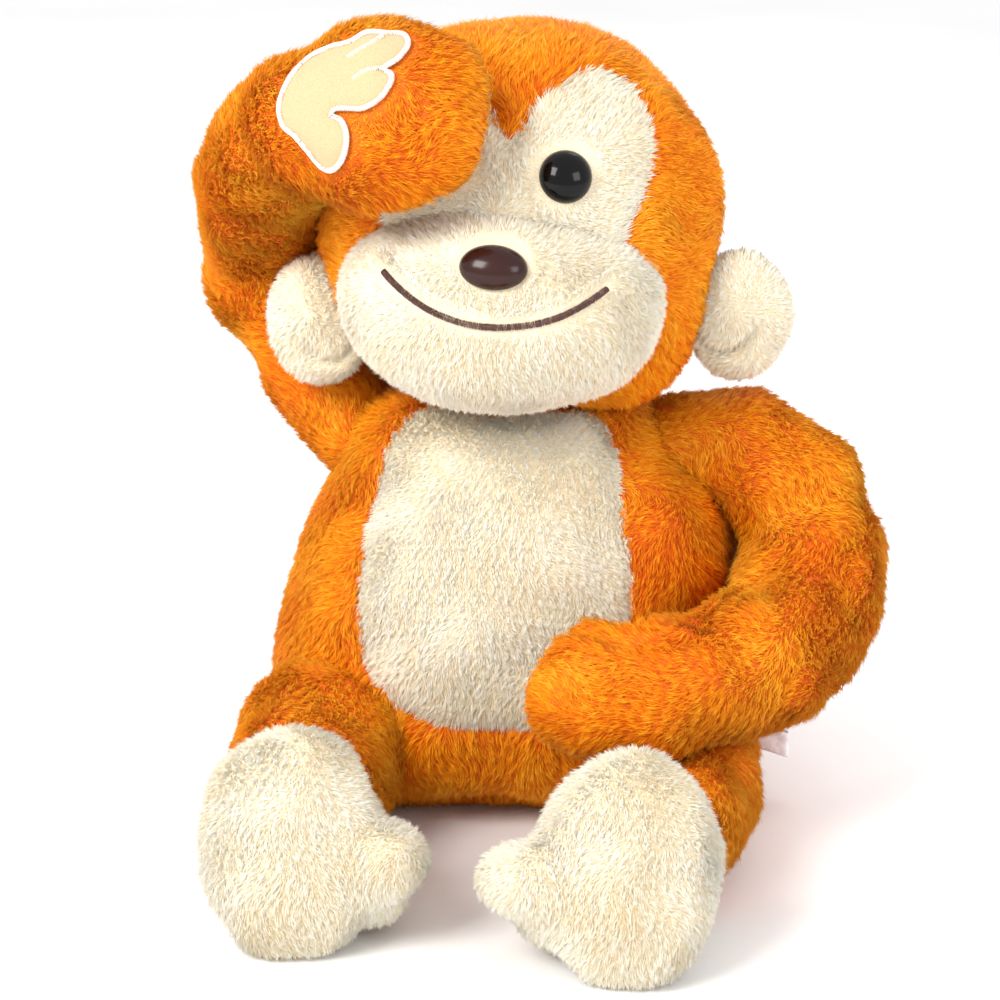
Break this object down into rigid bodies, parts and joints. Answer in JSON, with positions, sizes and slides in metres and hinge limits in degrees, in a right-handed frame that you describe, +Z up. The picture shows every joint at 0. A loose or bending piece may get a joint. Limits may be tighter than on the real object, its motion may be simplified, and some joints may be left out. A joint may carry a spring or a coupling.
{
  "type": "plush monkey toy",
  "caption": "Seated stuffed monkey in long-pile plush, one hand held over an eye, with turning head, limbs and ears.",
  "frame": {"origin": "on the plane the toy sits on, under the middle of its seat", "axes": "+Z up, the toy faces -Y, and its left side is at +X"},
  "size_m": [0.3401, 0.3761, 0.4057],
  "materials": {
    "orange_plush": "long-pile golden-orange plush",
    "cream_plush": "long-pile cream plush",
    "palm_velour": "short-pile cream velour",
    "palm_thread": "white satin stitch",
    "mouth_thread": "dark brown satin stitch",
    "label_satin": "folded white satin ribbon",
    "filling": "white polyester fibre",
    "eye_plastic": "polished black",
    "nose_plastic": "polished dark brown",
    "washer_plastic": "moulded white"
  },
  "bodies": {
    "torso": {"body_skin": "orange_plush", "belly_panel": "cream_plush", "body_filling": "filling", "care_label": "label_satin"},
    "neck": {"neck_filling": "filling"},
    "head": {"head_skin": "orange_plush", "face_panel": "cream_plush", "muzzle_panel": "cream_plush", "head_filling": "filling", "muzzle_filling": "filling", "eye_left": "eye_plastic", "eye_right": "eye_plastic", "eye_left_washer": "washer_plastic", "eye_right_washer": "washer_plastic", "nose": "nose_plastic", "nose_washer": "washer_plastic", "mouth_embroidery": "mouth_thread"},
    "ear_right": {"ear_right_skin": "cream_plush", "ear_right_filling": "filling"},
    "upper_arm_right": {"upper_arm_right_skin": "orange_plush", "upper_arm_right_filling": "filling"},
    "forearm_right": {"forearm_right_skin": "orange_plush", "forearm_right_filling": "filling"},
    "hand_right": {"hand_right_skin": "orange_plush", "hand_right_filling": "filling", "palm_patch_right": "palm_velour", "palm_stitching_right": "palm_thread"},
    "leg_right": {"leg_right_skin": "orange_plush", "leg_right_filling": "filling"},
    "foot_right": {"foot_right_skin": "cream_plush", "foot_right_filling": "filling"},
    "ear_left": {"ear_left_skin": "cream_plush", "ear_left_filling": "filling"},
    "upper_arm_left": {"upper_arm_left_skin": "orange_plush", "upper_arm_left_filling": "filling"},
    "forearm_left": {"forearm_left_skin": "orange_plush", "forearm_left_filling": "filling"},
    "hand_left": {"hand_left_skin": "orange_plush", "hand_left_filling": "filling", "palm_patch_left": "palm_velour", "palm_stitching_left": "palm_thread"},
    "leg_left": {"leg_left_skin": "orange_plush", "leg_left_filling": "filling"},
    "foot_left": {"foot_left_skin": "cream_plush", "foot_left_filling": "filling"},
    "tail": {"tail_skin": "orange_plush", "tail_filling": "filling"}
  },
  "joints": [
    {"name": "neck_turn", "type": "hinge", "parent": "torso", "child": "neck", "pos_m": [0.002, 0.006, 0.2105], "axis": [0, 0, 1], "range_deg": [0, 20]},
    {"name": "neck_nod", "type": "hinge", "parent": "neck", "child": "head", "pos_m": [0.002, 0.006, 0.2105], "axis": [-1, 0, 0], "range_deg": [-2, 8]},
    {"name": "ear_right_flop", "type": "hinge", "parent": "head", "child": "ear_right", "pos_m": [-0.072, -0.019, 0.254], "axis": [0, 0, 1], "range_deg": [-3, 12]},
    {"name": "ear_left_flop", "type": "hinge", "parent": "head", "child": "ear_left", "pos_m": [0.095, -0.011, 0.258], "axis": [0, 0, 1], "range_deg": [-8, 12]},
    {"name": "shoulder_right", "type": "hinge", "parent": "torso", "child": "upper_arm_right", "pos_m": [-0.078, 0.01, 0.184], "axis": [0, -1, 0], "range_deg": [0, 55]},
    {"name": "elbow_right", "type": "hinge", "parent": "upper_arm_right", "child": "forearm_right", "pos_m": [-0.118, 0.016, 0.29], "axis": [0, -1, 0], "range_deg": [0, 45]},
    {"name": "wrist_right", "type": "hinge", "parent": "forearm_right", "child": "hand_right", "pos_m": [-0.086, -0.078, 0.36], "axis": [0, 0, -1], "range_deg": [0, 50]},
    {"name": "shoulder_left", "type": "hinge", "parent": "torso", "child": "upper_arm_left", "pos_m": [0.084, 0.004, 0.182], "axis": [-0.9507, -0.3102, 0], "range_deg": [0, 35]},
    {"name": "elbow_left", "type": "hinge", "parent": "upper_arm_left", "child": "forearm_left", "pos_m": [0.159, -0.026, 0.134], "axis": [-1, 0, 0], "range_deg": [0, 20]},
    {"name": "wrist_left", "type": "hinge", "parent": "forearm_left", "child": "hand_left", "pos_m": [0.097, -0.12, 0.1], "axis": [0, 1, 0], "range_deg": [0, 30]},
    {"name": "hip_right", "type": "hinge", "parent": "torso", "child": "leg_right", "pos_m": [-0.082, -0.068, 0.043], "axis": [0, 0, -1], "range_deg": [-3, 20]},
    {"name": "ankle_right", "type": "hinge", "parent": "leg_right", "child": "foot_right", "pos_m": [-0.081, -0.16, 0.0345], "axis": [1, 0, 0], "range_deg": [-10, 12]},
    {"name": "hip_left", "type": "hinge", "parent": "torso", "child": "leg_left", "pos_m": [0.086, -0.068, 0.039], "axis": [0, 0, 1], "range_deg": [-3, 15]},
    {"name": "ankle_left", "type": "hinge", "parent": "leg_left", "child": "foot_left", "pos_m": [0.078, -0.176, 0.033], "axis": [1, 0, 0], "range_deg": [-10, 12]},
    {"name": "tail_swing", "type": "hinge", "parent": "torso", "child": "tail", "pos_m": [0, 0.093, 0.036], "axis": [0, 0, 1], "range_deg": [-1, 25]}
  ]
}
